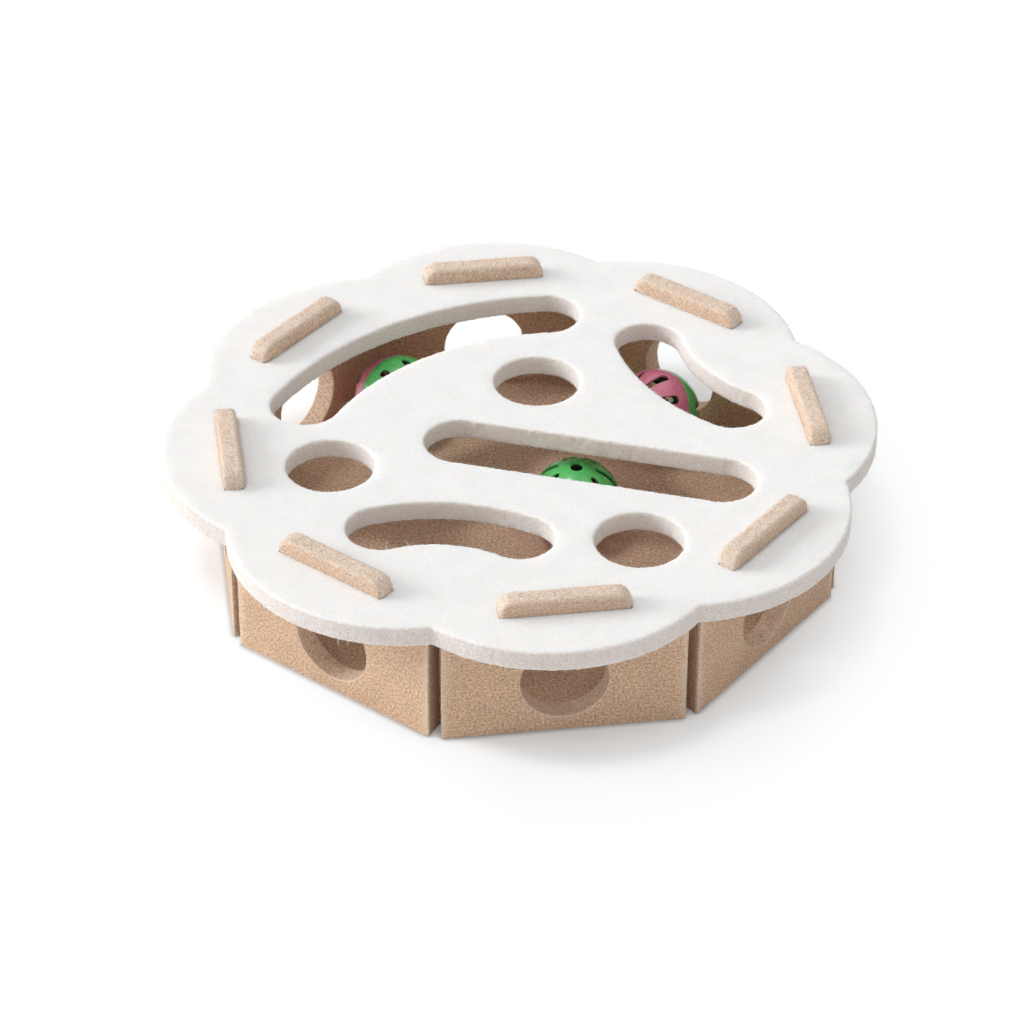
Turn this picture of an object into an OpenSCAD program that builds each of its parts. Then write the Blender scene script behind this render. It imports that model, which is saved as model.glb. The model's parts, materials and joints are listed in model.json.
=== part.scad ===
// Felt cat play box: eight felt wall panels stand round a felt base,
// a scalloped felt plate with paw openings drops over the panels' tabs,
// and three slotted bell balls roll loose inside.
// Millimetres, +Z up, origin on the ground under the middle of the plate.

/* [Top plate] */
// Distance from the middle of the plate to the notch between two scallops
notch_r = 150; // [146:0.5:165]
// How far the middle of a scallop lies beyond the notches
scallop_rise = 13.5; // [6:0.5:20]
// Thickness of the plate felt
plate_t = 10; // [6:0.5:14]
// Gap between a tab and its slot in the plate, on every side
tab_gap = 0.3; // [0.2:0.05:0.8]

/* [Wall panels] */
// Thickness of the wall felt
wall_t = 10; // [6:0.5:12]
// How far a wall stands in from the straight line between two notches
wall_inset = 1.5; // [0.5:0.1:5]
// Slit between the inner edges of two neighbouring panels
corner_slit = 0.6; // [0.2:0.1:3]
// How much further a panel's bevelled end reaches at its outer face than at its inner face
end_bevel = 1.3; // [0.2:0.1:3]
// Diameter of the paw hole in a wall
paw_hole_d = 39; // [24:0.5:42]
// Length of the tab on top of a wall
tab_len = 57; // [40:1:70]
// How far a tab's outer face is pressed back from its wall's outer face
tab_back = 0.2; // [0.1:0.05:1]
// How far a tab's inner face is pressed in from its wall's inner face
tab_press = 1.1; // [0.2:0.1:2]
// How far a tab stands out above the plate
tab_rise = 7.5; // [3:0.1:10]
// Radius of a tab's two upper corners
tab_corner_r = 6; // [2:0.5:8]

/* [Base plate] */
// Thickness of the base felt
base_t = 5; // [3:0.5:6]

/* [Round paw openings] */
// Diameter of a round opening in the plate
round_d = 40; // [30:0.5:42]
// Middle of the round opening near the plate's centre
round_centre_at = [13, 39.7]; // [-100:0.1:100]
// Middle of the round opening on the left
round_left_at = [-88.5, -15.3]; // [-100:0.1:100]
// Middle of the round opening at the front
round_front_at = [39.8, -88.8]; // [-100:0.1:100]

/* [Paw slot ends] */
// How far the round punch at each end of a slot reaches past the slot's sides
end_over = 0.2; // [0.1:0.05:0.5]

/* [Straight paw slot] */
// Width of the straight slot
straight_w = 33; // [24:0.5:38]
// Left end of the straight slot's centre line
straight_from = [-28, -4]; // [-100:0.1:100]
// Right end of the straight slot's centre line
straight_to = [83, -49]; // [-100:0.1:100]

/* [Curved paw slots] */
// Width of the long curved slot at the back left
long_w = 32; // [24:0.5:36]
// Left end of the long slot's centre line
long_from = [-95, 34.5]; // [-110:0.1:110]
// Right end of the long slot's centre line
long_to = [25.5, 96]; // [-110:0.1:110]
// How far the long slot's centre line bows out, away from the middle
long_bow = 17.7; // [10:0.1:24]
// Width of the short curved slot at the front left
front_w = 31; // [24:0.5:36]
// Left end of the front slot's centre line
front_from = [-71, -65.4]; // [-110:0.1:110]
// Right end of the front slot's centre line
front_to = [-11.8, -80]; // [-110:0.1:110]
// How far the front slot's centre line bows in, towards the middle
front_bow = 6.8; // [3:0.1:12]
// Width of the short curved slot on the right
right_w = 31; // [24:0.5:36]
// Front end of the right slot's centre line
right_from = [98.6, 6.1]; // [-110:0.1:110]
// Back end of the right slot's centre line
right_to = [69.7, 65.5]; // [-110:0.1:110]
// How far the right slot's centre line bows in, towards the middle
right_bow = 6.5; // [3:0.1:12]

/* [Balls] */
// Diameter of a bell ball
ball_d = 41; // [38:0.5:44]
// Wall of a ball's moulded halves
ball_wall = 1.5; // [1.2:0.1:2.5]
// Gap between a ball and the base it rolls on
rolling_gap = 0.3; // [0.2:0.05:0.6]
// Room between the top of a ball and the plate
head_room = 7; // [4:0.5:12]
// Hole at each pole of a ball
pole_hole_d = 6; // [3:0.5:7]
// Slots round each half of a ball
slots_per_half = 9; // [6:1:10]
// Angle from the pole to the pole end of a slot
slot_from_angle = 25; // [22:1:35]
// Angle from the pole to the rim end of a slot
slot_to_angle = 74; // [60:1:78]
// Width of a slot at its pole end
slot_pole_w = 2.6; // [1.5:0.1:3]
// Width of a slot at its rim end
slot_rim_w = 4.3; // [3.2:0.1:5]
// Height of the step by which the pink half plugs into the green half
plug_h = 1.8; // [1:0.1:3]
// Gap round that plug
plug_gap = 0.1; // [0.05:0.05:0.2]

/* [Bells inside the balls] */
// Diameter of a jingle bell at its waist band
bell_d = 12.6; // [8:0.2:16]
// Height of the band round a bell's waist
bell_band_h = 0.9; // [0.5:0.1:1.5]
// How far the waist band stands out from the bell
bell_band_rise = 0.3; // [0.2:0.05:0.6]
// Sheet metal of a bell
bell_wall = 0.6; // [0.4:0.1:1]
// Width of the slit across a bell's mouth
bell_slit_w = 1.2; // [0.8:0.1:1.8]
// Round holes at the ends of the slit
bell_eye_d = 2.4; // [1.9:0.1:3]
// Wire of the loop on a bell's crown
loop_wire_d = 0.9; // [0.6:0.1:1.4]
// Middle diameter of that loop
loop_d = 3; // [2.2:0.1:4]
// Pellet that rattles in a bell
pellet_d = 3; // [2:0.1:3.6]
// Gap under a bell and under its pellet
loose_gap = 0.25; // [0.1:0.05:0.5]

/* [Where the balls lie] */
// Middle ball: X and Y of its centre
middle_ball_at = [25, -5.5]; // [-60:0.5:60]
// Right ball: gap to the back right wall, and its shift along that wall
right_ball_at = [11.1, -9.1]; // [-40:0.1:40]
// Back ball: gap to the back left wall, and its shift along that wall
back_ball_at = [10.2, -30.2]; // [-40:0.1:40]
// Middle ball: tilt, heading and spin of its green pole, and twist of its pink half
middle_ball_turn = [4, -98, -9, 12]; // [-180:1:180]
// Right ball: tilt, heading and spin of its green pole, and twist of its pink half
right_ball_turn = [118, 31, 14, -6]; // [-180:1:180]
// Back ball: tilt, heading and spin of its green pole, and twist of its pink half
back_ball_turn = [72, -64, -12, 21]; // [-180:1:180]

/* [Hidden] */
$fn = 96;
WHITE_FELT = [0.93, 0.92, 0.90];
TAN_FELT = [0.72, 0.58, 0.46];
BROWN_FELT = [0.50, 0.38, 0.29];
GREEN_PLASTIC = [0.22, 0.66, 0.29];
PINK_PLASTIC = [0.80, 0.36, 0.52];
BELL_BRASS = [0.80, 0.66, 0.34];
PELLET_STEEL = [0.60, 0.60, 0.62];

SIDES = 8;
SIDE_ANGLE = 360 / SIDES;
HALF_SIDE = SIDE_ANGLE / 2;
BACK_RIGHT_SIDE = 3;
BACK_LEFT_SIDE = 5;
FRONT_HEADING = -90;
// Angle from a bell's mouth to the round holes at the ends of its slit
BELL_EYE_ANGLE = 60;
// How far a cutter runs past the faces that it cuts
CUT_OVER = 1;
// How deep a tab is rooted in its wall
TAB_ROOT = 3;

// Distance from the middle to the straight line between two notches
notch_line = notch_r * cos(HALF_SIDE);
scallop_tip_r = notch_r + scallop_rise;
// A scallop is the arc through two notches and the tip between them
scallop_centre = (pow(scallop_tip_r, 2) - pow(notch_r, 2)) / (2 * (scallop_tip_r - notch_line));
scallop_r = scallop_tip_r - scallop_centre;

wall_out = notch_line - wall_inset;
wall_in = wall_out - wall_t;
wall_in_half = wall_in * tan(HALF_SIDE) - corner_slit / 2;
wall_out_half = wall_in_half + end_bevel;
// The walls are as tall as a ball on the base with its head room
wall_h = base_t + rolling_gap + ball_d + head_room;
tab_t = wall_t - tab_back - tab_press;
tab_top = wall_h + plate_t + tab_rise;

ball_r = ball_d / 2;
ball_in_r = ball_r - ball_wall;
ball_z = base_t + rolling_gap + ball_r;
plug_r = ball_r - ball_wall / 2;
bell_r = bell_d / 2 - bell_band_rise;
bell_in_r = bell_r - bell_wall;
bell_z = ball_z - ball_in_r + loose_gap + bell_d / 2;
pellet_z = bell_z - bell_in_r + loose_gap + pellet_d / 2;

// Centre of a ball that lies near a wall, from its gap to the wall and its shift along it
function beside_wall(side, at) =
    let (heading = FRONT_HEADING + side * SIDE_ANGLE, out = wall_in - ball_r - at[0])
    [out * cos(heading) - at[1] * sin(heading), out * sin(heading) + at[1] * cos(heading)];

WALLS = [
    "wall_front", "wall_front_right", "wall_right", "wall_back_right",
    "wall_back", "wall_back_left", "wall_left", "wall_front_left"
];
BALLS = ["middle_ball", "right_ball", "back_ball"];
BALL_PLACES = [
    middle_ball_at,
    beside_wall(BACK_RIGHT_SIDE, right_ball_at),
    beside_wall(BACK_LEFT_SIDE, back_ball_at)
];
BALL_TURNS = [middle_ball_turn, right_ball_turn, back_ball_turn];
BALL_PIECES = ["green_half", "pink_half", "bell", "pellet"];

// Scalloped outline of the plate
module scallops() {
    circle(r = notch_r / 2);
    for (side = [0 : SIDES - 1])
        rotate(side * SIDE_ANGLE)
            translate([0, -scallop_centre])
                circle(r = scallop_r);
}

// Cutter for the round end of a slot, a touch wider than the slot itself
module round_end(at, w, h) {
    translate(at)
        cylinder(r = w / 2 + end_over, h = h);
}

// Cutter for a straight slot with round ends between two points
module straight_slot(from, to, w, h) {
    run = to - from;
    translate(from)
        rotate(atan2(run[1], run[0]))
            translate([0, -w / 2, 0])
                cube([norm(run), w, h]);
    round_end(from, w, h);
    round_end(to, w, h);
}

// Cutter for a slot with round ends whose centre line bows out to the left of its run
module bowed_slot(from, to, bow, w, h) {
    run = to - from;
    half = norm(run) / 2;
    bend_r = (half * half + bow * bow) / (2 * bow);
    sweep = 2 * asin(half / bend_r);
    translate((from + to) / 2)
        rotate(atan2(run[1], run[0]))
            translate([0, bow - bend_r, 0])
                rotate(90 - sweep / 2)
                    rotate_extrude(angle = sweep)
                        translate([bend_r - w / 2, 0])
                            square([w, h]);
    round_end(from, w, h);
    round_end(to, w, h);
}

// All the openings that a paw reaches through from above
module paw_openings(h) {
    for (at = [round_centre_at, round_left_at, round_front_at])
        translate(at)
            cylinder(d = round_d, h = h);
    straight_slot(straight_from, straight_to, straight_w, h);
    bowed_slot(long_from, long_to, long_bow, long_w, h);
    bowed_slot(front_from, front_to, front_bow, front_w, h);
    bowed_slot(right_from, right_to, right_bow, right_w, h);
}

// Slots that the wall tabs stand in
module tab_slots(h) {
    for (side = [0 : SIDES - 1])
        rotate(side * SIDE_ANGLE)
            translate([-tab_len / 2 - tab_gap, tab_back - wall_out - tab_gap, 0])
                cube([tab_len + 2 * tab_gap, tab_t + 2 * tab_gap, h]);
}

module top_plate() {
    color(WHITE_FELT)
        translate([0, 0, wall_h])
            difference() {
                linear_extrude(plate_t)
                    scallops();
                translate([0, 0, -CUT_OVER]) {
                    paw_openings(plate_t + 2 * CUT_OVER);
                    tab_slots(plate_t + 2 * CUT_OVER);
                }
            }
}

module base_plate() {
    color(BROWN_FELT)
        rotate(HALF_SIDE)
            cylinder(r = wall_in / cos(HALF_SIDE), h = base_t, $fn = SIDES);
}

// Plan of a wall panel with its bevelled ends
module wall_plan() {
    polygon([
        [-wall_in_half, -wall_in], [-wall_out_half, -wall_out],
        [wall_out_half, -wall_out], [wall_in_half, -wall_in]
    ]);
}

// Face of a tab with two round upper corners, from its root inside the wall upwards
module tab_face() {
    root = wall_h - TAB_ROOT;
    translate([-tab_len / 2, root])
        square([tab_len, tab_top - tab_corner_r - root]);
    translate([tab_corner_r - tab_len / 2, root])
        square([tab_len - 2 * tab_corner_r, tab_top - root]);
    for (end = [-1, 1])
        translate([end * (tab_len / 2 - tab_corner_r), tab_top - tab_corner_r])
            circle(r = tab_corner_r);
}

module wall_panel(side) {
    color(TAN_FELT)
        rotate(side * SIDE_ANGLE)
            difference() {
                union() {
                    linear_extrude(wall_h)
                        wall_plan();
                    translate([0, tab_back + tab_t - wall_out, 0])
                        rotate([90, 0, 0])
                            linear_extrude(tab_t)
                                tab_face();
                }
                translate([0, CUT_OVER - wall_in, wall_h / 2])
                    rotate([90, 0, 0])
                        cylinder(d = paw_hole_d, h = wall_t + 2 * CUT_OVER);
            }
}

// Puts a ball piece at its ball, turned as the ball lies, with +Z along the green pole
module in_ball(ball) {
    turn = BALL_TURNS[ball];
    translate([BALL_PLACES[ball][0], BALL_PLACES[ball][1], ball_z])
        rotate([0, turn[0], turn[1]])
            rotate(turn[2])
                children();
}

// Cutter for one slot of a ball, narrow towards the pole and wide towards the rim
module ball_slot() {
    reach = ball_r * sin((slot_to_angle - slot_from_angle) / 2);
    pole_end = slot_pole_w / 2 - reach;
    rim_end = reach - slot_rim_w / 2;
    // The cutter starts just inside the shell, clear of its neighbours
    start = ball_in_r * cos((slot_to_angle - slot_from_angle) / 2) - ball_wall;
    rotate([0, (slot_from_angle + slot_to_angle) / 2, 0])
        translate([0, 0, start])
            linear_extrude(ball_r - start + CUT_OVER)
                union() {
                    translate([pole_end, 0])
                        circle(d = slot_pole_w);
                    translate([rim_end, 0])
                        circle(d = slot_rim_w);
                    polygon([
                        [pole_end, -slot_pole_w / 2], [rim_end, -slot_rim_w / 2],
                        [rim_end, slot_rim_w / 2], [pole_end, slot_pole_w / 2]
                    ]);
                }
}

// Section of a ball's shell, from one pole hole round to the other
module shell_section() {
    difference() {
        intersection() {
            circle(r = ball_r);
            translate([pole_hole_d / 2, -ball_r])
                square([ball_r, ball_d]);
        }
        circle(r = ball_in_r);
    }
}

// Section of the green half, with the rebate that takes the plug
module green_section() {
    difference() {
        intersection() {
            shell_section();
            square(ball_d);
        }
        translate([0, -CUT_OVER])
            square([plug_r, plug_h + CUT_OVER]);
    }
}

// Section of the pink half, pole up, with the plug below its rim
module pink_section() {
    difference() {
        intersection() {
            shell_section();
            translate([0, plug_gap - plug_h])
                square(ball_d);
        }
        translate([plug_r - plug_gap, -ball_d])
            square(ball_d);
    }
}

// Half of a ball turned from its section, with slots all round
module slotted_half() {
    difference() {
        rotate_extrude()
            children();
        for (slot = [0 : slots_per_half - 1])
            rotate((slot + 0.5) * 360 / slots_per_half)
                ball_slot();
    }
}

module green_half(ball) {
    color(GREEN_PLASTIC)
        in_ball(ball)
            slotted_half()
                green_section();
}

module pink_half(ball) {
    color(PINK_PLASTIC)
        in_ball(ball)
            rotate(BALL_TURNS[ball][3])
                mirror([0, 0, 1])
                    slotted_half()
                        pink_section();
}

// Section of a bell: its round sheet, the waist band and the rivet under the loop
module bell_section() {
    intersection() {
        union() {
            difference() {
                union() {
                    circle(r = bell_r);
                    translate([0, -bell_band_h / 2])
                        square([bell_d / 2, bell_band_h]);
                }
                circle(r = bell_in_r);
            }
            translate([0, bell_in_r - bell_wall])
                square([loop_d / 2, 2 * bell_wall + loop_wire_d / 2]);
        }
        translate([0, -bell_d])
            square([bell_d, 2 * bell_d]);
    }
}

// Wire loop on a bell's crown
module bell_loop() {
    translate([0, 0, bell_r + loop_d / 2])
        rotate([0, 90, 0])
            rotate_extrude()
                translate([loop_d / 2, 0])
                    circle(d = loop_wire_d);
}

// Jingle bell lying on its side at the bottom of its ball
module bell(ball) {
    color(BELL_BRASS)
        translate([BALL_PLACES[ball][0], BALL_PLACES[ball][1], bell_z])
            rotate([0, 90, BALL_TURNS[ball][1]])
                difference() {
                    union() {
                        rotate_extrude()
                            bell_section();
                        bell_loop();
                    }
                    translate([-bell_slit_w / 2, -bell_d / 2, -bell_d])
                        cube([bell_slit_w, bell_d, bell_d - bell_band_h]);
                    for (end = [-1, 1])
                        rotate([end * BELL_EYE_ANGLE, 0, 0])
                            translate([0, 0, -bell_d])
                                cylinder(d = bell_eye_d, h = bell_d);
                }
}

module pellet(ball) {
    color(PELLET_STEEL)
        translate([BALL_PLACES[ball][0], BALL_PLACES[ball][1], pellet_z])
            sphere(d = pellet_d);
}

top_plate();
base_plate();
for (side = [0 : SIDES - 1])
    wall_panel(side);
for (ball = [0 : len(BALLS) - 1]) {
    green_half(ball);
    pink_half(ball);
    bell(ball);
    pellet(ball);
}
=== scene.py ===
"""Looks of the felt cat play box: felt boards with soft cut edges and fuzz, and glossy bell balls.

Sizes are in millimetres until a mesh is made, and the boards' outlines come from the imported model.
"""

import json
import math

import bpy
import numpy as np
from mathutils import Matrix, Vector, noise
from mathutils.geometry import delaunay_2d_cdt


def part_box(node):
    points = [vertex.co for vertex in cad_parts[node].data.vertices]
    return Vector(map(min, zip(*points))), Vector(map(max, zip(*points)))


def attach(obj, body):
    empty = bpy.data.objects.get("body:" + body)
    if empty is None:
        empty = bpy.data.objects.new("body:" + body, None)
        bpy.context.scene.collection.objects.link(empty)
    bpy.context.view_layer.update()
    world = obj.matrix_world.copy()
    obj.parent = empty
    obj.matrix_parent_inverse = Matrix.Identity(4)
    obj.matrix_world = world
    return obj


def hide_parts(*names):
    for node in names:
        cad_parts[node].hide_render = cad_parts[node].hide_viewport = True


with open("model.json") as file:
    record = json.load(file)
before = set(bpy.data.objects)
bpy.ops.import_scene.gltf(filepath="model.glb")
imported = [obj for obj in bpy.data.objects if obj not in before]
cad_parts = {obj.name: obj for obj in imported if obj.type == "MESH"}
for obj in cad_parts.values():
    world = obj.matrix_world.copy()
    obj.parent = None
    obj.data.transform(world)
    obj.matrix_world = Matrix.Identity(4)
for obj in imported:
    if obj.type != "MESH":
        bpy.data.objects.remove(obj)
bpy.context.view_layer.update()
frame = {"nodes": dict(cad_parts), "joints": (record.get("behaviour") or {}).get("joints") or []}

MM = 0.001
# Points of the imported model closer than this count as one
WELD = 0.001
SEED = 8

# Camera, as fitted to the photograph
IMAGE_PX = 1024
SENSOR = 36
CAMERA_TURN = -8.217
CAMERA_RISE = 36.479
CAMERA_ROLL = 0.397
CAMERA_AWAY = 1674.656
FOCAL_PX = 3603.931
OPTICAL_CENTRE_PX = (520.287, 543.064)

# Soft lamps in an even white room, each with its heading, rise, width in degrees and strength
LAMPS = {
    "left": (165, 20, 26, 2.0),
    "behind_left": (131, 35, 16, 0.28),
    "overhead": (180, 74, 12, 0.65),
}
ROOM_STRENGTH = 0.54
# The ground's colour and share of glow, and where it starts to fade to plain white and by when it has
GROUND = (0.99, 1.03, 1.06)
GROUND_GLOW = 0.18
GROUND_MIDDLE = (-60, 25, 0)
GROUND_FADE = (179, 262)
# Painted light: the way to the side in front on the left where the ground glows white over its shadow, and
# where along it white starts and where it is full
GROUND_BRIGHT_WAY = (-0.8, -0.6, 0)
GROUND_BRIGHT = (105, 150)
# Painted contact shade: how far from the walls' feet the ground is painted darker, how dark it gets there,
# and how open a place is where it is darkest and where it is clear
CONTACT_REACH, CONTACT_DARK = 4, 0.55
CONTACT_OPEN = (0.4, 0.95)
FLOOR_R = 6000
FLOOR_DROP = 0.1
FLOOR_SIDES = 96

# Felt boards
PLATE_EDGE_R = 1.2
TAB_SLOT_EDGE_R = 0.3
# How far the felt round a tab slot springs in against the tab
TAB_SLOT_HUG = 0.28
WALL_EDGE_R = 0.6
TAB_EDGE_R = 2.1
BASE_EDGE_R = 0.6
# How far a tab's faces swell where it comes out of the plate
TAB_SWELL = 0.4
OUTLINE_STEP = 0.8
OUTLINE_SOFTEN = 0.5
SIDE_ROW = 1.6
EDGE_ARC_STEPS = 4
FACE_CELL, BASE_CELL = 4.0, 6.0
# Points that fill a face: spacing of their rows, jitter and room to the edge, as shares of the cell
FILL_ROW, FILL_JITTER, FILL_CLEAR = 0.87, 0.15, 0.55
# Points that are tested against the outlines at one time, and the fewest of an outline
INSIDE_BATCH = 1000
FEWEST_POINTS = 16
# Wavelength and depth of the felt's unevenness, and of the raggedness of its cut edges
FELT_WAVES = ((9.0, 0.10), (2.6, 0.08))
CUT_WAVES = ((1.7, 0.18), (0.9, 0.30))
# How ragged the cuts of a board are, as a share of those waves
PLATE_RAGGED, WALL_RAGGED, BASE_RAGGED = 1.0, 0.45, 0.45
# A tab slot is told from a paw opening by its narrow width, and the outline by how far out it lies
TAB_SLOT_WIDEST = 12
OUTLINE_MARGIN = 2
# A triangle is in a board's upper or lower face where the cosine of its tilt is above this
FACE_COSINE = 0.99
# How far from a wall's end its bevel starts and where it is full
BEVEL_SPAN = (10, 2)
# How far below and beside a tab its pressing fades out
PRESS_FADE = 3
# Where a tab's faces start to swell and have swollen, from the plate's upper face
SWELL_SPAN = (-0.5, 1)
# Heights above a tab's foot between which its edges grow rounder, and between which it is painted paler as
# painted light
TAB_ROUND_SPAN = (4, 9)
TAB_PALE_SPAN = (5, 10)
# Heights about a tab's foot between which the panel's tints fade out
PANEL_END_SPAN = (-1, 2)
# How near a panel's ends the painted shade of the gaps between panels is full, and where it ends
GAP_SHADE_SPAN = (1.5, 3)
# Spacing of the walls in their common grain, so that no two look alike
WALL_SHIFT = 200
# How far the sides of openings have the tint that the outline's cut has, and the painted light in the
# edges' highlight tint
OPENING_TINT, OPENING_PAINTED_LIGHT = 0.9, 1.0
# How pale a panel's cuts and, as painted light, a tab's faces are, as a share of the cut tint
PANEL_TINT, TAB_PAINTED_PALE = 0.35, 0.3
# How near its ends a panel's face has a painted highlight, and how pale
END_HIGHLIGHT_REACH, END_HIGHLIGHT = 1.0, 0.8
# How much of the painted highlight a tab's edges keep, as a share of the panel's
TAB_PAINTED_LIGHT = 0.25

# Fuzz: fibres for each millimetre of cut edge, the share on the outer side, and the shape of one fibre
PLATE_FUZZ, PLATE_FUZZ_ABOVE = 4.0, 0.5
WALL_FUZZ, WALL_FUZZ_OUTSIDE = 1.8, 0.75
# Fibres on the top and ends of a tab, and on its faces
TAB_FUZZ, TAB_FACE_FUZZ = 1000, 200
FIBRE_R, TAB_FIBRE_R = 0.065, 0.055
FIBRE_SIDES = 3
FIBRE_RINGS = 3
FIBRE_LENGTH = (0.35, 1.3)
# Share of fibres that are longer, how much longer they are, and how far fibres stray from their way
LONG_SHARE, LONG_TIMES = 0.06, 1.8
FIBRE_STRAY = 0.45
# How deep below a face the fuzz of an edge grows, how far its foot follows the rounding, and how it rises
FUZZ_DEEP = 1.6
FUZZ_FOOT = 0.6
FUZZ_RISE = 0.35
# How deep a fibre's foot is in the felt
FIBRE_FOOT = 0.2
# How far a fibre bends, as a share of its length, and how thick its tip is, as a share of its foot
FIBRE_BEND = (0.1, 0.5)
FIBRE_TIP = 0.45
# How far from a tab's ends its faces have no fibres
TAB_FACE_MARGIN = 4
# No fibre reaches lower than this above the ground
FIBRE_LOWEST = 0.05
# A way that no fibre runs along, and one that no ball's pole points along
FIBRE_ASKEW, BALL_ASKEW = (0.31, 0.53, 0.79), (0.3, 0.5, 0.8)
# Loose curls at the front slot's near edge and below the rim: each one's foot, its height, and its lean
# to the side and to the back
CURLS = (
    ((-69.6, -81.2, 62.9), 3.4, -1.4, 1.9),
    ((-62.2, -81.9, 62.9), 3.0, 1.9, 2.2),
    ((-96.2, -129.6, 53.6), -2.6, -0.8, -0.5),
    ((-93.0, -130.3, 53.6), -2.2, 0.9, -0.6),
)
CURL_RINGS = 12
CURL_R = 0.15
# Half turns of a curl's swing to the side and of its rise
CURL_SWING, CURL_RISE = 1.6, 0.62

# Ball shells
BALLS = ("middle_ball", "right_ball", "back_ball")
BALL_STEP = 0.65
BALL_SOFTEN = 0.3
BALL_EDGE_R = 0.28
BALL_CELL = 1.7
BALL_SIDE_ROW = 0.5
# Painted shade inside a ball: how bright the plastic is there, as a share of its deep colour
BALL_INSIDE_SHADE = 0.3
# A ball's outer skin is this near its radius
SKIN_TOLERANCE = 0.02

# Felt grain: headings of its strands, their length and width, and how crooked they are
STRAND_TURNS = (12, 58, 101, 149)
STRAND = (3.0, 0.35, 0.35)
STRAND_CROOKED = 0.6
# From where to where strands stand out, and how much paler they then are
STRAND_SPAN = (0.60, 0.78)
STRAND_PALE = 0.4
# Strand noise and roughness where the felt is roughest and smoothest
ROUGH_SPAN, ROUGHNESS = (0.4, 0.8), (0.98, 0.85)
# Sizes of the felt's clouds, of the speckle on its cuts and of its nap
CLOUD, SPECKLE, NAP = 14, 0.75, 0.5
# Where the speckle's and the grain's noise is darkest and palest
NOISE_SPAN = (0.36, 0.64)
# How far the painted shade at the panels' ends and the painted highlights on edges have their tint, at the
# speckle's least and most
GAP_SHADE_SPECKLE = (0.45, 0.75)
PAINTED_LIGHT_SPECKLE = (0.9, 0.3)
# Tint of the painted shade on the panels' ends, in the gaps where they meet
GAP_SHADE = (0.27, 0.12, 0.05)
# How far light goes into white felt, how much further red goes than the other colours, and the share that
# cuts and places with painted light keep back
LIGHT_DEPTH = 4.0
LIGHT_REACH = (1.0, 0.8, 0.65)
CUT_BLOCKS = 0.35
# How much rougher a cut's relief is, and the depth of the relief
CUT_NAP = 0.4
NAP_DEPTH = 0.4

WALLS = ("front", "front_right", "right", "back_right", "back", "back_left", "left", "front_left")


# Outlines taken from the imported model

def welded(node):
    """The node's points in millimetres and its triangles, with points at one place joined."""
    mesh = frame["nodes"][node].data
    mesh.calc_loop_triangles()
    points = np.array([v.co for v in mesh.vertices]) / MM
    places, index = np.unique(np.round(points / WELD), axis=0, return_inverse=True)
    corners = np.array([t.vertices[:] for t in mesh.loop_triangles])
    return places * WELD, index.reshape(-1)[corners]


def border_loops(corners):
    """Closed borders of some triangles, as lists of point numbers with the triangles on their left."""
    edges = {(int(t[k]), int(t[k - 2])) for t in corners for k in range(3)}
    follows = {a: b for a, b in sorted(edges) if (b, a) not in edges}
    loops = []
    while follows:
        start, at = next(iter(follows.items()))
        loop = [start]
        del follows[start]
        while at != start:
            loop.append(at)
            at = follows.pop(at)
        loops.append(loop)
    return loops


def even(loop, step):
    """The closed outline with its points at even steps."""
    ring = np.vstack([loop, loop[:1]])
    along = np.concatenate([[0], np.cumsum(np.linalg.norm(np.diff(ring, axis=0), axis=1))])
    count = max(FEWEST_POINTS, round(along[-1] / step))
    at = np.linspace(0, along[-1], count, endpoint=False)
    return np.column_stack([np.interp(at, along, ring[:, k]) for k in range(2)])


def softened(loop, step, width):
    """The closed outline with its corners softened over about that width."""
    reach = math.ceil(3 * width / step)
    offsets = np.arange(-reach, reach + 1)
    weights = np.exp(-0.5 * (offsets * step / width) ** 2)
    weights /= weights.sum()
    return sum(w * np.roll(loop, k, axis=0) for k, w in zip(offsets, weights))


def inward(loop):
    """Unit vectors from the outline into the material, which is on its left."""
    run = np.roll(loop, -1, axis=0) - np.roll(loop, 1, axis=0)
    run /= np.linalg.norm(run, axis=1)[:, None]
    return np.column_stack([-run[:, 1], run[:, 0]])


# Boards with rounded edges

def inside(points, rings):
    """Which points lie in the material, by counting the outlines to their right."""
    a = np.vstack(rings)
    b = np.vstack([np.roll(r, -1, axis=0) for r in rings])
    found = np.zeros(len(points), bool)
    for start in range(0, len(points), INSIDE_BATCH):
        batch = slice(start, start + INSIDE_BATCH)
        p = points[batch, None]
        spans = (a[:, 1] > p[..., 1]) != (b[:, 1] > p[..., 1])
        with np.errstate(divide="ignore", invalid="ignore"):
            cross = a[:, 0] + (p[..., 1] - a[:, 1]) * (b[:, 0] - a[:, 0]) / (b[:, 1] - a[:, 1])
        found[batch] = (spans & (p[..., 0] < cross)).sum(1) % 2 == 1
    return found


def fill_points(rings, cell, rng):
    """A loose grid of points inside the rings, clear of them."""
    edge = np.vstack(rings)
    lo, hi = edge.min(0), edge.max(0)
    rows = np.arange(lo[1], hi[1], cell * FILL_ROW)
    grid = np.array([
        (x + (k % 2) * cell / 2, y)
        for k, y in enumerate(rows)
        for x in np.arange(lo[0], hi[0], cell)
    ])
    grid += rng.uniform(-FILL_JITTER, FILL_JITTER, grid.shape) * cell
    grid = grid[inside(grid, rings)]
    clear = [np.min(np.sum((edge - p) ** 2, axis=1)) > (FILL_CLEAR * cell) ** 2 for p in grid]
    return grid[clear]


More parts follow.
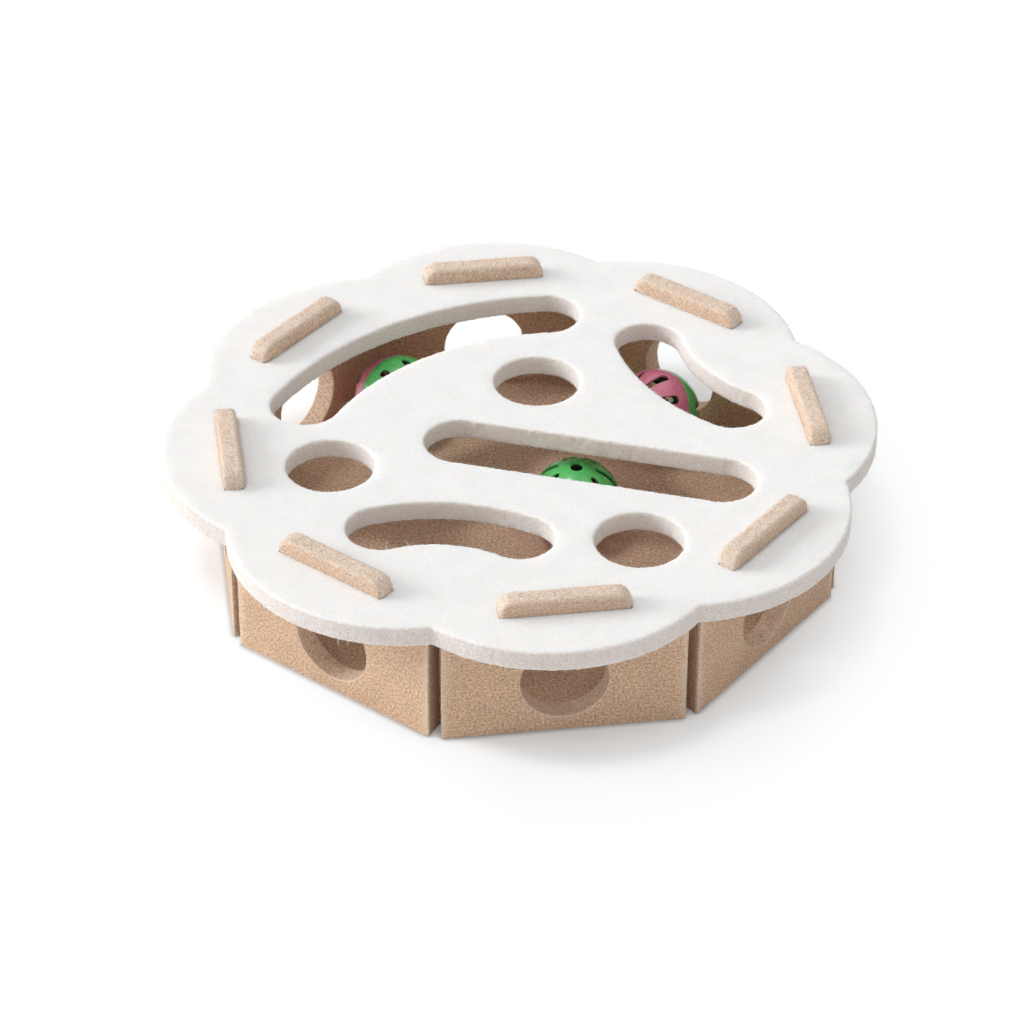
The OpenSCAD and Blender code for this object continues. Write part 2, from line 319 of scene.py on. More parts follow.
def triangulated(rings, cell, rng):
    """Triangles that fill the rings. Points are the rings' own, one after another, then the extra ones."""
    extra = fill_points(rings, cell, rng)
    edges, start = [], 0
    for r in rings:
        edges += [(start + k, start + (k + 1) % len(r)) for k in range(len(r))]
        start += len(r)
    points = np.vstack([*rings, extra])
    filled = delaunay_2d_cdt([Vector(p) for p in points], edges, [], 0, 1e-6)
    source = [found[0] for found in filled[3]]
    triangles = np.array([[source[v] for v in face] for face in filled[2]])
    sure = (triangles >= start).any(1)
    middle = points[triangles].mean(1)
    sure[~sure] = inside(middle[~sure], rings)
    triangles = triangles[sure]
    a, b, c = (points[triangles[:, k]] for k in range(3))
    turned = np.cross(b - a, c - a) < 0
    triangles[turned] = triangles[turned][:, ::-1]
    return extra, triangles


def edge_rows(thickness, row):
    """Rows of points round a cut edge, from the upper face to the lower one.

    Each has its inset in edge radii, its depth as a share of the thickness and of the edge radius,
    and how far it belongs to the cut side and to the painted highlight along the edge.
    """
    angles = np.linspace(0, math.pi / 2, EDGE_ARC_STEPS + 1)
    # Each arc point's last share, highest midway round the rounding, is a painted highlight along the edge
    arc = [
        (1 - math.sin(a), 1 - math.cos(a), math.sin(a), math.sqrt(abs(math.sin(2 * a))))
        for a in angles
    ]
    count = max(2, round(thickness / row))
    upper = [(inset, 0, depth, cut, worn) for inset, depth, cut, worn in arc]
    side = [(0, share, 1 - 2 * share, 1, 0) for share in np.arange(1, count) / count]
    lower = [(inset, 1, -depth, cut, worn) for inset, depth, cut, worn in reversed(arc)]
    return upper + side + lower


def board(loops, radii, thickness, cell, row, rng):
    """A flat board as points (x, y, depth), faces, and for each point its shares of cut side and painted
    edge highlight and its cut share times the edge radius.
    """
    rows = edge_rows(thickness, row)
    points, shares, faces, top, bottom = [], [], [], [], []
    start = 0
    for loop, radius in zip(loops, radii):
        count, into = len(loop), inward(loop)
        for inset, deep, round_deep, cut, worn in rows:
            depth = np.broadcast_to(deep * thickness + round_deep * radius, count)
            shift = np.broadcast_to(inset * radius, count)[:, None]
            points.append(np.column_stack([loop + into * shift, depth]))
            rounding = np.broadcast_to(cut * radius, count)
            shares.append(np.column_stack([np.tile((cut, worn), (count, 1)), rounding]))
        at = np.arange(count)
        following = np.roll(at, -1)
        for k in range(len(rows) - 1):
            upper, lower = start + k * count, start + (k + 1) * count
            corners = [upper + at, lower + at, lower + following, upper + following]
            faces += np.column_stack(corners).tolist()
        top.append(start + at)
        start += len(rows) * count
        bottom.append(start - count + at)
    every = np.vstack(points)
    extra, triangles = triangulated([every[t, :2] for t in top], cell, rng)
    for rim, depth, step in ((top, 0, 1), (bottom, thickness, -1)):
        points.append(np.column_stack([extra, np.full(len(extra), depth)]))
        shares.append(np.zeros((len(extra), 3)))
        number = np.concatenate([*rim, start + np.arange(len(extra))])
        faces += number[triangles][:, ::step].tolist()
        start += len(extra)
    return np.vstack(points), faces, np.vstack(shares)


def uneven(points, waves):
    """Shifts of the points by smooth noise of each wavelength and depth."""
    return sum(
        depth * np.array([noise.noise_vector(p) for p in (points / wave).tolist()])
        for wave, depth in waves)


def smooth(value, low, high):
    """0 below the low value, 1 above the high one, and a smooth step between."""
    share = np.clip((value - low) / (high - low), 0, 1)
    return share * share * (3 - 2 * share)


def made(name, points, faces, material, **shares):
    """A smooth mesh object from points in millimetres, with shares kept for its material."""
    mesh = bpy.data.meshes.new(name)
    mesh.from_pydata((points * MM).tolist(), [], faces)
    for share, values in shares.items():
        mesh.attributes.new(share, "FLOAT", "POINT").data.foreach_set("value", values.astype(np.float32))
    mesh.materials.append(material)
    mesh.shade_smooth()
    mesh.update()
    obj = bpy.data.objects.new(name, mesh)
    bpy.context.scene.collection.objects.link(obj)
    return obj


# Materials

class Nodes:
    """A material's nodes, added one by one with their inputs."""

    def __init__(self, name):
        self.material = bpy.data.materials.new(name)
        self.material.use_nodes = True
        self.tree = self.material.node_tree
        self.shader = self.tree.nodes["Principled BSDF"]

    def add(self, kind, inputs=None, **settings):
        node = self.tree.nodes.new("ShaderNode" + kind)
        for key, value in settings.items():
            setattr(node, key, value)
        self.feed(node, inputs or {})
        return node

    def feed(self, node, inputs):
        for key, value in inputs.items():
            if isinstance(value, bpy.types.NodeSocket):
                self.tree.links.new(value, node.inputs[key])
            else:
                node.inputs[key].default_value = value

    def math(self, operation, *values):
        return self.add("Math", dict(enumerate(values)), operation=operation).outputs[0]

    def noise(self, coords, size, detail=2.0, distortion=0.0, roughness=0.5):
        return self.add("TexNoise", {
            "Vector": coords, "Scale": 1 / (size * MM), "Detail": detail,
            "Distortion": distortion, "Roughness": roughness,
        }).outputs["Fac"]

    def between(self, value, low, high, to_low=0.0, to_high=1.0):
        inputs = {"Value": value, "From Min": low, "From Max": high, "To Min": to_low, "To Max": to_high}
        return self.add("MapRange", inputs, interpolation_type="SMOOTHSTEP").outputs[0]

    def ramp(self, value, stops):
        node = self.add("ValToRGB", {"Fac": value})
        elements = node.color_ramp.elements
        while len(elements) < len(stops):
            elements.new(0.5)
        for element, (position, colour) in zip(elements, stops):
            element.position = position
            element.color = (*colour, 1)
        return node.outputs["Color"]

    def mix(self, factor, a, b, blend="MIX"):
        node = self.add("Mix", data_type="RGBA", blend_type=blend)
        for key, value in ((0, factor), (6, a), (7, b)):
            ready = isinstance(value, (bpy.types.NodeSocket, float))
            self.feed(node, {key: value if ready else (*value, 1)})
        return node.outputs[2]


def felt(name, dark, middle, pale, cut_side, worn_edge, fleck, mottle, nap, speckled, through=0.0):
    """Pressed felt: heathered colour, fibres lying every way, and other tints on cuts, with painted
    highlights on edges and painted shade at the panels' ends.

    speckled says how far the cut tint shows at the speckle's least and most, and through how far light
    goes into the felt.
    """
    n = Nodes(name)
    place = n.add("TexCoord").outputs["Object"]
    strands = None
    for turn in STRAND_TURNS:
        lie = n.add("Mapping", {
            "Vector": place, "Rotation": (0, 0, math.radians(turn)), "Scale": [s * MM for s in STRAND],
        }, vector_type="TEXTURE").outputs[0]
        strand = n.add("TexNoise", {
            "Vector": lie, "Scale": 1, "Detail": 1, "Distortion": STRAND_CROOKED,
        }).outputs["Fac"]
        strands = n.math("MAXIMUM", strands, strand) if strands else strand
    grain = n.noise(place, fleck, 4.0, roughness=0.72)
    heather = n.ramp(grain, ((NOISE_SPAN[0], dark), (0.50, middle), (NOISE_SPAN[1], pale)))
    colour = n.mix(n.between(strands, *STRAND_SPAN, 0.0, STRAND_PALE), heather, pale)
    clouds = n.between(n.noise(place, CLOUD, 4.0), 0.3, 0.7, 1 - mottle, 1 + mottle)
    grey = n.add("CombineColor", {k: clouds for k in range(3)}).outputs[0]
    colour = n.mix(1.0, colour, grey, "MULTIPLY")
    speckle = n.noise(place, SPECKLE, 3.0, roughness=0.7)
    tints = {
        "cut": (cut_side, speckled),
        # Painted shade on the panels' ends, in the gaps between panels
        "seared": (GAP_SHADE, GAP_SHADE_SPECKLE),
        # Painted highlight along edges, and painted light on the sides of openings
        "worn": (worn_edge, PAINTED_LIGHT_SPECKLE),
    }
    parts = {}
    for share, (tint, least_most) in tints.items():
        parts[share] = n.add("Attribute", attribute_name=share).outputs["Fac"]
        broken = n.between(speckle, *NOISE_SPAN, *least_most)
        colour = n.mix(n.math("MULTIPLY", parts[share], broken), colour, tint)
    if through:
        opened = n.math("MAXIMUM", parts["cut"], parts["worn"])
        through = n.math("MULTIPLY_ADD", opened, -CUT_BLOCKS * through, through)
    height = n.math("ADD", strands, n.noise(place, NAP, 2.0))
    strength = n.math("ADD", nap, n.math("MULTIPLY", parts["cut"], CUT_NAP))
    n.feed(n.shader, {
        "Base Color": colour,
        "Roughness": n.between(strands, *ROUGH_SPAN, *ROUGHNESS),
        "Normal": n.add("Bump", {
            "Height": height, "Strength": strength, "Distance": NAP_DEPTH * MM,
        }).outputs[0],
        "Specular IOR Level": 0.15, "Sheen Weight": 0.1, "Sheen Roughness": 0.6,
        "Subsurface Weight": through, "Subsurface Radius": LIGHT_REACH,
        "Subsurface Scale": LIGHT_DEPTH * MM,
    })
    return n.material


def fibre_stuff(name, dark, pale):
    """Loose fibres, each a little darker or paler than the next."""
    n = Nodes(name)
    place = n.add("TexCoord").outputs["Object"]
    colour = n.ramp(n.noise(place, 1.6, 1.0), ((0.35, dark), (0.65, pale)))
    n.feed(n.shader, {"Base Color": colour, "Roughness": 0.9, "Specular IOR Level": 0.1})
    return n.material


def plastic(name, deep, colour):
    """Glossy moulded plastic with flow marks, a faint orange peel and light scuffs, with painted shade
    inside.
    """
    n = Nodes(name)
    place = n.add("TexCoord").outputs["Object"]
    flow = n.noise(place, 14, 2.0, 0.8)
    scuff = n.noise(place, 2.2, 5.0)
    depth = n.add("Attribute", attribute_name="depth").outputs["Fac"]
    inner_shade = tuple(BALL_INSIDE_SHADE * c for c in deep)
    outer = n.ramp(flow, ((0.3, deep), (0.62, colour)))
    n.feed(n.shader, {
        # Painted shade: the plastic darkens towards the inside of the shell
        "Base Color": n.mix(n.between(depth, 0.3, 1.0), outer, inner_shade),
        "Roughness": n.between(scuff, 0.35, 0.75, 0.2, 0.36),
        "Normal": n.add("Bump", {
            "Height": n.noise(place, 0.9, 1.0), "Strength": 0.12, "Distance": 0.05 * MM,
        }).outputs[0],
        "Specular IOR Level": 0.5, "Coat Weight": 0.25, "Coat Roughness": 0.12,
    })
    return n.material


def metal(name, bright, tarnish, rough, dull):
    """Sheet metal with tarnish in patches and fine dents."""
    n = Nodes(name)
    place = n.add("TexCoord").outputs["Object"]
    patches = n.noise(place, 3.5, 4.0)
    n.feed(n.shader, {
        "Base Color": n.ramp(patches, ((0.35, tarnish), (0.6, bright))),
        "Roughness": n.between(patches, 0.35, 0.65, dull, rough),
        "Normal": n.add("Bump", {
            "Height": n.noise(place, 0.7, 2.0), "Strength": 0.2, "Distance": 0.06 * MM,
        }).outputs[0],
        "Metallic": 1.0,
    })
    return n.material


def seen_rays(tree):
    """Socket that is 1 for rays from the camera, also by way of reflections and clear things."""
    rays = tree.nodes.new("ShaderNodeLightPath").outputs
    seen = rays["Is Camera Ray"]
    for ray in ("Is Glossy Ray", "Is Transmission Ray"):
        either = tree.nodes.new("ShaderNodeMath")
        either.operation = "MAXIMUM"
        tree.links.new(seen, either.inputs[0])
        tree.links.new(rays[ray], either.inputs[1])
        seen = either.outputs[0]
    return seen


def white_floor(name):
    """White ground that keeps the soft shadow near the box, with painted contact shade and a painted glow
    over the shadow in front on the left, and shows plain white further off.
    """
    n = Nodes(name)
    place = n.add("TexCoord").outputs["Object"]
    paper = n.ramp(n.noise(place, 400, 2.0), ((0.3, (0.93, 0.93, 0.93)), (0.7, (0.95, 0.95, 0.95))))
    n.feed(n.shader, {"Base Color": paper, "Roughness": 0.9, "Specular IOR Level": 0.0})
    middle = tuple(c * MM for c in GROUND_MIDDLE)
    away = n.add("VectorMath", {0: place, 1: middle}, operation="DISTANCE").outputs["Value"]
    fade = n.between(away, *(d * MM for d in GROUND_FADE), GROUND_GLOW, 1.0)
    # Painted light: the ground glows white towards the front left, over its shadow
    along = n.add("VectorMath", {0: place, 1: GROUND_BRIGHT_WAY}, operation="DOT_PRODUCT").outputs["Value"]
    fade = n.math("MAXIMUM", fade, n.between(along, *(d * MM for d in GROUND_BRIGHT)))
    # Painted contact shade, from how open each place is, on both the lit and the glowing ground
    open_share = n.add("AmbientOcclusion", {"Distance": CONTACT_REACH * MM}).outputs["AO"]
    clear = n.between(open_share, *CONTACT_OPEN, CONTACT_DARK, 1.0)
    lit = n.add("BsdfDiffuse", {"Color": n.mix(clear, (0.0, 0.0, 0.0), GROUND)})
    white = n.add("Emission", {"Color": n.mix(clear, (0.0, 0.0, 0.0), (1.0, 1.0, 1.0)), "Strength": 1.0})
    shown = n.add("MixShader", {0: fade, 1: lit.outputs[0], 2: white.outputs[0]})
    blend = n.add("MixShader", {0: seen_rays(n.tree), 1: n.shader.outputs[0], 2: shown.outputs[0]})
    n.tree.links.new(blend.outputs[0], n.tree.nodes["Material Output"].inputs["Surface"])
    return n.material


# worn_edge is the colour of the painted highlights on edges and of the painted light on the sides of
# openings
WHITE_FELT = felt(
    "white_felt", dark=(0.83, 0.825, 0.81), middle=(0.88, 0.875, 0.865), pale=(0.92, 0.915, 0.905),
    cut_side=(0.75, 0.63, 0.555), worn_edge=(1.0, 0.965, 0.92),
    fleck=1.2, mottle=0.02, nap=0.22, speckled=(0.0, 0.9), through=0.75)
TAN_FELT = felt(
    "tan_felt", dark=(0.41, 0.24, 0.138), middle=(0.665, 0.44, 0.29), pale=(0.86, 0.655, 0.495),
    cut_side=(0.95, 0.845, 0.745), worn_edge=(0.87, 0.71, 0.56),
    fleck=1.1, mottle=0.04, nap=0.4, speckled=(0.2, 0.9))
BASE_FELT = felt(
    "base_felt", dark=(0.42, 0.25, 0.15), middle=(0.67, 0.45, 0.315), pale=(0.86, 0.66, 0.505),
    cut_side=(0.70, 0.53, 0.41), worn_edge=(0.78, 0.63, 0.51),
    fleck=1.3, mottle=0.06, nap=0.5, speckled=(0.0, 0.9))
WHITE_FIBRE = fibre_stuff("white_fibre", (0.84, 0.82, 0.79), (0.93, 0.92, 0.90))
TAN_FIBRE = fibre_stuff("tan_fibre", (0.72, 0.54, 0.40), (0.88, 0.74, 0.61))
GREEN = plastic("green_plastic", (0.09, 0.52, 0.13), (0.14, 0.66, 0.20))
PINK = plastic("pink_plastic", (0.66, 0.18, 0.28), (0.76, 0.24, 0.35))
BRASS = metal("bell_metal", (0.55, 0.43, 0.20), (0.34, 0.25, 0.10), 0.34, 0.5)
STEEL = metal("pellet_steel", (0.60, 0.60, 0.61), (0.42, 0.41, 0.41), 0.25, 0.45)


# Felt pieces

class FeltBoard:
    """One felt board, made in its own frame: x and y along its face, z out of it."""

    def __init__(self, node, x_axis, y_axis, edge_r, ragged, rng, shift=0.0):
        points, corners = welded(node)
        x, y = np.array(x_axis, float), np.array(y_axis, float)
        z = np.cross(x, y)
        t = points[corners]
        facing = np.cross(t[:, 1] - t[:, 0], t[:, 2] - t[:, 0])
        facing /= np.linalg.norm(facing, axis=1)[:, None]
        self.flat = np.column_stack([points @ x + shift, points @ y])
        self.heights = points @ z
        self.thickness = np.ptp(self.heights)
        self.upper = border_loops(corners[facing @ z > FACE_COSINE])
        self.lower = border_loops(corners[facing @ z < -FACE_COSINE])
        self.loops, self.radii = [], []
        for outline in self.outlines():
            loop = softened(even(outline, OUTLINE_STEP), OUTLINE_STEP, OUTLINE_SOFTEN)
            hug, radius = self.edge(loop, edge_r)
            self.loops.append(loop - hug * inward(loop))
            self.radii.append(radius)
        self.turn = np.column_stack([x, y, z])
        self.origin = z * self.heights.max() - x * shift
        self.ragged = ragged
        self.rng = rng

    def outlines(self):
        return [self.flat[loop] for loop in self.upper]

    def edge(self, loop, edge_r):
        """How far the felt springs out of the outline, and its edge radius, smaller at tab slots."""
        ahead = np.roll(loop, -1, axis=0)
        area = 0.5 * abs(np.sum(loop[:, 0] * ahead[:, 1] - loop[:, 1] * ahead[:, 0]))
        around = np.linalg.norm(ahead - loop, axis=1).sum()
        narrow = 2 * area / around < TAB_SLOT_WIDEST
        return (TAB_SLOT_HUG, TAB_SLOT_EDGE_R) if narrow else (0, edge_r)

    def shaped(self, points):
        return points

    def shaded(self, points, cut, worn):
        """Shares of the cut tint, the painted light and the painted shade: openings have a little less cut
        and more painted light.
        """
        reach = max(np.linalg.norm(loop, axis=1).min() for loop in self.loops)
        rim = np.linalg.norm(points[:, :2], axis=1) > reach - OUTLINE_MARGIN
        # Painted light on the sides of openings, in the tint of the painted highlights
        worn = np.maximum(worn, np.where(rim, 0, OPENING_PAINTED_LIGHT * cut))
        return cut * np.where(rim, 1, OPENING_TINT), worn, np.zeros(len(cut))

    def build(self, name, material, cell=FACE_CELL):
        points, faces, shares = board(self.loops, self.radii, self.thickness, cell, SIDE_ROW, self.rng)
        cut, worn, seared = self.shaded(points, shares[:, 0], shares[:, 1])
        points = self.shaped(points)
        points[:, 2] *= -1
        rough = self.ragged * np.minimum(1, shares[:, 2:] / WALL_EDGE_R)
        points += uneven(points, FELT_WAVES) + rough * uneven(points, CUT_WAVES)
        below = np.minimum(0, points @ self.turn[2] + self.origin[2])
        points -= np.outer(below, self.turn[2])
        obj = made(name, points, faces, material, cut=cut, worn=worn, seared=seared)
        rows = [[*self.turn[k], self.origin[k] * MM] for k in range(3)]
        obj.matrix_world = Matrix(rows + [[0, 0, 0, 1]])
        return obj

    def fuzz(self, density, above):
        """Paths of short fibres along the board's cut edges but the tab slots, in the part's frame."""
        paths = []
        for loop, radius in zip(self.loops, self.radii):
            out = -inward(loop)
            radius = np.broadcast_to(radius, len(loop))
            if radius.max() == TAB_SLOT_EDGE_R:
                continue
            around = np.linalg.norm(np.roll(loop, -1, axis=0) - loop, axis=1).sum()
            for k in self.rng.integers(len(loop), size=int(around * density)):
                up = self.rng.random() < above
                depth = self.rng.uniform(0, FUZZ_DEEP)
                place = loop[k] - out[k] * max(0.0, radius[k] - depth) * FUZZ_FOOT
                way = (*out[k], FUZZ_RISE if up else -FUZZ_RISE)
                paths.append(self.fibre(place, depth if up else self.thickness - depth, way))
        return paths

    def fibre(self, place, depth, way):
        """Path of one fibre that stands out of the board about that way, in the part's frame."""
        seat = self.shaped(np.array([[*place, depth]]))[0] * (1, 1, -1)
        way = np.array(way) + self.rng.normal(0, FIBRE_STRAY, 3)
        length = self.rng.uniform(*FIBRE_LENGTH) * (LONG_TIMES if self.rng.random() < LONG_SHARE else 1)
        return bent(self.turn @ seat + self.origin, self.turn @ way, length, self.rng)


class FeltWall(FeltBoard):
    """A wall panel: its ends are bevelled, and its tab is pressed thinner than the panel."""

    def outlines(self):
        """The panel's outline with the tab's on top of it, and the paw hole."""
        front = self.heights.max() - WELD
        back = self.heights.min() + WELD
        panel, hole = sorted((loop for loop in self.upper if self.heights[loop[0]] > front), key=len)
        tab, = (loop for loop in self.upper if self.heights[loop[0]] <= front)
        tab_inside, = (loop for loop in self.lower if self.heights[loop[0]] > back)
        self.tab_back = self.heights.max() - self.heights[tab[0]]
        self.tab_press = self.heights[tab_inside[0]] - self.heights.min()
        panel, tab = self.flat[panel], self.flat[tab]
        self.bevel = (np.ptp(panel[:, 0]) - np.ptp(self.flat[self.heights < back, 0])) / 2
        self.middle = (panel[:, 0].max() + panel[:, 0].min()) / 2
        self.half = np.ptp(panel[:, 0]) / 2
        self.tab_half = np.ptp(tab[:, 0]) / 2
        self.tab_foot = panel[:, 1].max()
        panel = np.roll(panel, -np.argmax(panel @ (1, 1)), axis=0)
        tab = np.roll(tab, -np.argmax(tab @ (1, -1)), axis=0)
        return [np.vstack([panel[:1], tab, panel[1:]]), self.flat[hole]]

    def edge(self, loop, edge_r):
        low, high = (self.tab_foot + h for h in TAB_ROUND_SPAN)
        return 0, edge_r + (TAB_EDGE_R - edge_r) * smooth(loop[:, 1], low, high)

    def shaded(self, points, cut, worn):
        """The tab is painted paler, the panel's ends have painted shade and its face a painted highlight
        by them, and its cuts are a little paler.
        """
        height, to_end = points[:, 1] - self.tab_foot, self.half - abs(points[:, 0] - self.middle)
        on_panel = 1 - smooth(height, *PANEL_END_SPAN)
        # Painted shade on the end faces, where the panels meet in narrow gaps
        seared = cut * on_panel * (1 - smooth(to_end, *GAP_SHADE_SPAN))
        # Painted highlight on the face close to the panel's ends
        by_end = (to_end < END_HIGHLIGHT_REACH) & (points[:, 2] < END_HIGHLIGHT_REACH)
        worn = np.maximum(worn, END_HIGHLIGHT * on_panel * by_end)
        # Painted light: the tab, where it stands above the plate, is painted paler
        tab_painted_pale = smooth(height, *TAB_PALE_SPAN)
        # The tab's edges keep less of the painted highlight
        worn *= 1 - (1 - TAB_PAINTED_LIGHT) * tab_painted_pale
        return np.maximum(cut * (1 - (1 - PANEL_TINT) * on_panel), TAB_PAINTED_PALE * tab_painted_pale), worn, seared

    def shaped(self, points):
        side = points[:, 0] - self.middle
        depth = points[:, 2] / self.thickness
        at_end = smooth(abs(side), *(self.half - d for d in BEVEL_SPAN))
        at_tab = smooth(points[:, 1], self.tab_foot - PRESS_FADE, self.tab_foot) * (
            1 - smooth(abs(side), self.tab_half, self.tab_half + PRESS_FADE))
        above = points[:, 1] - self.tab_foot - plate.thickness
        swell = TAB_SWELL * smooth(above, *SWELL_SPAN) * (2 * depth - 1)
        return points + np.column_stack([
            -np.sign(side) * self.bevel * depth * at_end,
            np.zeros(len(points)),
            at_tab * (self.tab_back * (1 - depth) - self.tab_press * depth) + swell,
        ])

    def tab_fuzz(self):
        """Paths of the fibres all over the part of the tab that stands above the plate."""
        paths = []
        loop, out = self.loops[0], -inward(self.loops[0])
        bare, top = self.tab_foot + plate.thickness, loop[:, 1].max()
        for k in self.rng.choice(np.flatnonzero(loop[:, 1] > bare), TAB_FUZZ):
            depth = self.rng.uniform(0, self.thickness)
            front = depth < self.thickness / 2
            turned = max(0.0, 1 - min(depth, self.thickness - depth) / TAB_EDGE_R)
            outward = math.sqrt(1 - turned ** 2)
            place = loop[k] - out[k] * TAB_EDGE_R * (1 - outward)
            paths.append(self.fibre(place, depth, (*out[k] * outward, turned if front else -turned)))
        for _ in range(TAB_FACE_FUZZ):
            along = self.rng.uniform(-1, 1) * (self.tab_half - TAB_FACE_MARGIN)
            front = self.rng.random() < 0.5
            place = (self.middle + along, self.rng.uniform(bare, top - TAB_EDGE_R))
            paths.append(self.fibre(place, 0 if front else self.thickness, (0, 0, 1 if front else -1)))
        return paths


def bent(seat, way, length, rng):
    """Path of a short fibre that starts inside the felt and bends a little."""
    way = way / np.linalg.norm(way)
    side = np.cross(way, rng.normal(size=3))
    side *= rng.uniform(*FIBRE_BEND) * length / np.linalg.norm(side)
    share = np.linspace(0, 1, FIBRE_RINGS)[:, None]
    return seat + way * (length * share - FIBRE_FOOT) + side * share ** 2


def curl(foot, height, lean, over):
    """Path of a loose fibre that rises from its foot and hooks over at its tip."""
    share = np.linspace(0, 1, CURL_RINGS)[:, None]
    swing = np.sin(share * math.pi * CURL_SWING)
    rise = np.sin(share * math.pi * CURL_RISE)
    return np.array(foot) + np.hstack([lean * (swing + share) / 2, over * share ** 1.5, height * rise])


def fibres(name, paths, radii, material):
    """One mesh of thin tapered closed tubes along the paths."""
    points, faces, start = [], [], 0
    angles = 2 * math.pi * np.arange(FIBRE_SIDES) / FIBRE_SIDES
    for path, radius in zip(paths, radii):
        run = np.gradient(path, axis=0)
        side = np.cross(run, FIBRE_ASKEW)
        side /= np.linalg.norm(side, axis=1)[:, None]
        other = np.cross(run, side)
        other /= np.linalg.norm(other, axis=1)[:, None]
        taper = radius * np.linspace(1, FIBRE_TIP, len(path))[:, None]
        rings = [path + taper * (math.cos(a) * side + math.sin(a) * other) for a in angles]
        points.append(np.stack(rings, axis=1).reshape(-1, 3))
        for k in range(len(path) - 1):
            a, b = start + k * FIBRE_SIDES, start + (k + 1) * FIBRE_SIDES
            for s in range(FIBRE_SIDES):
                t = (s + 1) % FIBRE_SIDES
                faces.append((a + s, a + t, b + t, b + s))
        end = start + (len(path) - 1) * FIBRE_SIDES
        faces.append(tuple(start + s for s in reversed(range(FIBRE_SIDES))))
        faces.append(tuple(end + s for s in range(FIBRE_SIDES)))
        start += len(path) * FIBRE_SIDES
    points = np.vstack(points)
    points[:, 2] = np.maximum(points[:, 2], FIBRE_LOWEST)
    return made(name, points, faces, material)


def ride(obj, body, slot, *nodes):
    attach(obj, body)
    if nodes:
        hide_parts(*nodes)
    return obj


# Blender's vector noise would otherwise take its seed from the clock
noise.seed_set(SEED)
rng = np.random.default_rng(SEED)

plate = FeltBoard("top_plate", (1, 0, 0), (0, 1, 0), PLATE_EDGE_R, PLATE_RAGGED, rng)
ride(plate.build("felt_plate", WHITE_FELT), "lid", "white_felt", "top_plate")
fuzz = plate.fuzz(PLATE_FUZZ, PLATE_FUZZ_ABOVE)
curls = [curl(*shape) for shape in CURLS]
radii = [FIBRE_R] * len(fuzz) + [CURL_R] * len(curls)
ride(fibres("plate_fuzz", fuzz + curls, radii, WHITE_FIBRE), "lid", "white_felt")

fuzz, tab_fuzz = [], []
for number, side in enumerate(WALLS):
    node = "wall_" + side
    lo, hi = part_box(node)
    outward = np.array([lo.x + hi.x, lo.y + hi.y, 0])
    outward /= np.linalg.norm(outward)
    along = np.cross((0, 0, 1), outward)
    wall = FeltWall(node, along, (0, 0, 1), WALL_EDGE_R, WALL_RAGGED, rng, WALL_SHIFT * number)
    ride(wall.build("felt_wall_" + side, TAN_FELT), "box", "tan_felt", node)
    fuzz += wall.fuzz(WALL_FUZZ, WALL_FUZZ_OUTSIDE)
    tab_fuzz += wall.tab_fuzz()
ride(fibres("wall_fuzz", fuzz, [FIBRE_R] * len(fuzz), TAN_FIBRE), "box", "tan_felt")
ride(fibres("tab_fuzz", tab_fuzz, [TAB_FIBRE_R] * len(tab_fuzz), TAN_FIBRE), "box", "tan_felt")

base = FeltBoard("base_plate", (1, 0, 0), (0, 1, 0), BASE_EDGE_R, BASE_RAGGED, rng)
ride(base.build("felt_base", BASE_FELT, BASE_CELL), "box", "base_felt", "base_plate")


# Bell balls

def ball_half(ball, half, centre, material, rng):
    """A slotted half shell: a board in the flat chart round its pole, wrapped onto the ball."""
    node = f"{ball}_{half}_half"
    points, corners = welded(node)
    off = points - centre
    reach = np.linalg.norm(off, axis=1)
    ball_r = reach.max()
    wall = ball_r - reach.min()
    t = off[corners]
    weight = np.linalg.norm(np.cross(t[:, 1] - t[:, 0], t[:, 2] - t[:, 0]), axis=1)
    pole = (t.mean(1) * weight[:, None]).sum(0)
    pole /= np.linalg.norm(pole)
    east = np.cross(pole, BALL_ASKEW)
    east /= np.linalg.norm(east)
    north = np.cross(pole, east)
    skin = (reach[corners] > ball_r - SKIN_TOLERANCE).all(1)
    loops = []
    for loop in border_loops(corners[skin]):
        p = off[loop]
        polar = ball_r * np.arccos(np.clip(p @ pole / ball_r, -1, 1))
        turn = np.arctan2(p @ north, p @ east)
        flat = np.column_stack([polar * np.cos(turn), polar * np.sin(turn)])
        loops.append(softened(even(flat, BALL_STEP), BALL_STEP, BALL_SOFTEN))
    flat, faces, _ = board(loops, [BALL_EDGE_R] * len(loops), wall, BALL_CELL, BALL_SIDE_ROW, rng)
    polar = np.linalg.norm(flat[:, :2], axis=1) / ball_r
    turn = np.arctan2(flat[:, 1], flat[:, 0])
    way = np.outer(np.cos(polar), pole) + np.sin(polar)[:, None] * (
        np.outer(np.cos(turn), east) + np.outer(np.sin(turn), north))
    obj = made(f"{ball}_{half}_shell", centre + way * (ball_r - flat[:, 2:]), faces, material,
               depth=flat[:, 2] / wall)
    return ride(obj, ball, half + "_plastic", node)


spins = {joint["child"]: joint for joint in frame["joints"]}
for ball in BALLS:
    centre = np.array(spins[ball]["pos_m"]) / MM
    ball_half(ball, "green", centre, GREEN, rng)
    ball_half(ball, "pink", centre, PINK, rng)
    frame["nodes"][ball + "_bell"].data.materials[0] = BRASS
    frame["nodes"][ball + "_pellet"].data.materials[0] = STEEL


# Floor, light and camera

def heading(turn, rise):
    """Unit vector towards that heading, anticlockwise from +X, and that rise, in degrees."""
    a, e = math.radians(turn), math.radians(rise)
    return Vector((math.cos(a) * math.cos(e), math.sin(a) * math.cos(e), math.sin(e)))


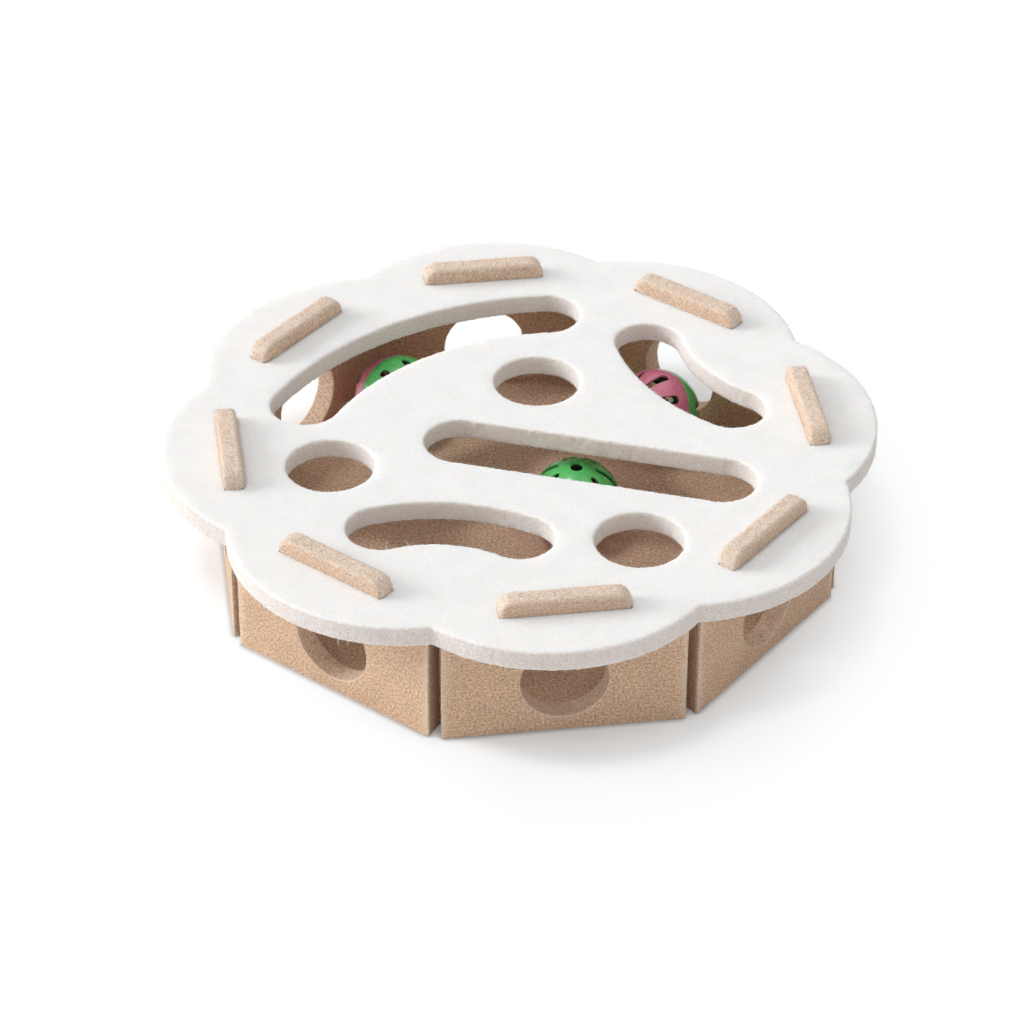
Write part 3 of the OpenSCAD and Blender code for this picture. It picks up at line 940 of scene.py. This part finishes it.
turns = np.linspace(0, 2 * math.pi, FLOOR_SIDES, False)
ring = [(FLOOR_R * MM * math.cos(a), FLOOR_R * MM * math.sin(a), -FLOOR_DROP * MM) for a in turns]
floor_mesh = bpy.data.meshes.new("floor")
floor_mesh.from_pydata(ring, [], [tuple(range(len(ring)))])
floor_mesh.materials.append(white_floor("floor_white"))
floor = bpy.data.objects.new("floor", floor_mesh)
bpy.context.scene.collection.objects.link(floor)

for name, (turn, rise, width, strength) in LAMPS.items():
    light = bpy.data.lights.new(name, "SUN")
    light.energy = strength
    light.angle = math.radians(width)
    lamp = bpy.data.objects.new(name, light)
    lamp.rotation_mode = "QUATERNION"
    lamp.rotation_quaternion = heading(turn, rise).to_track_quat("Z", "Y")
    bpy.context.scene.collection.objects.link(lamp)

world = bpy.data.worlds.new("white_room")
bpy.context.scene.world = world
world.use_nodes = True
room = world.node_tree
level = room.nodes.new("ShaderNodeMapRange")
level.inputs["To Min"].default_value = ROOM_STRENGTH
room.links.new(seen_rays(room), level.inputs["Value"])
background = room.nodes["Background"]
background.inputs["Color"].default_value = (1, 1, 1, 1)
room.links.new(level.outputs[0], background.inputs["Strength"])

back = heading(CAMERA_TURN - 90, CAMERA_RISE)
right = Vector((0, 0, 1)).cross(back).normalized()
up = back.cross(right)
roll = math.radians(CAMERA_ROLL)
rolled_right = math.cos(roll) * right + math.sin(roll) * up
rolled_up = math.cos(roll) * up - math.sin(roll) * right
camera = bpy.data.cameras.new("camera")
camera.sensor_width = SENSOR
camera.lens = FOCAL_PX / IMAGE_PX * SENSOR
camera.shift_x = 0.5 - OPTICAL_CENTRE_PX[0] / IMAGE_PX
camera.shift_y = OPTICAL_CENTRE_PX[1] / IMAGE_PX - 0.5
camera.clip_start, camera.clip_end = 0.01, 50
viewer = bpy.data.objects.new("camera", camera)
viewer.matrix_world = Matrix.Translation(back * CAMERA_AWAY * MM) @ Matrix(
    [[rolled_right[k], rolled_up[k], back[k], 0] for k in range(3)] + [[0, 0, 0, 1]])
bpy.context.scene.collection.objects.link(viewer)
bpy.context.scene.camera = viewer
bpy.context.scene.view_settings.view_transform = "Standard"
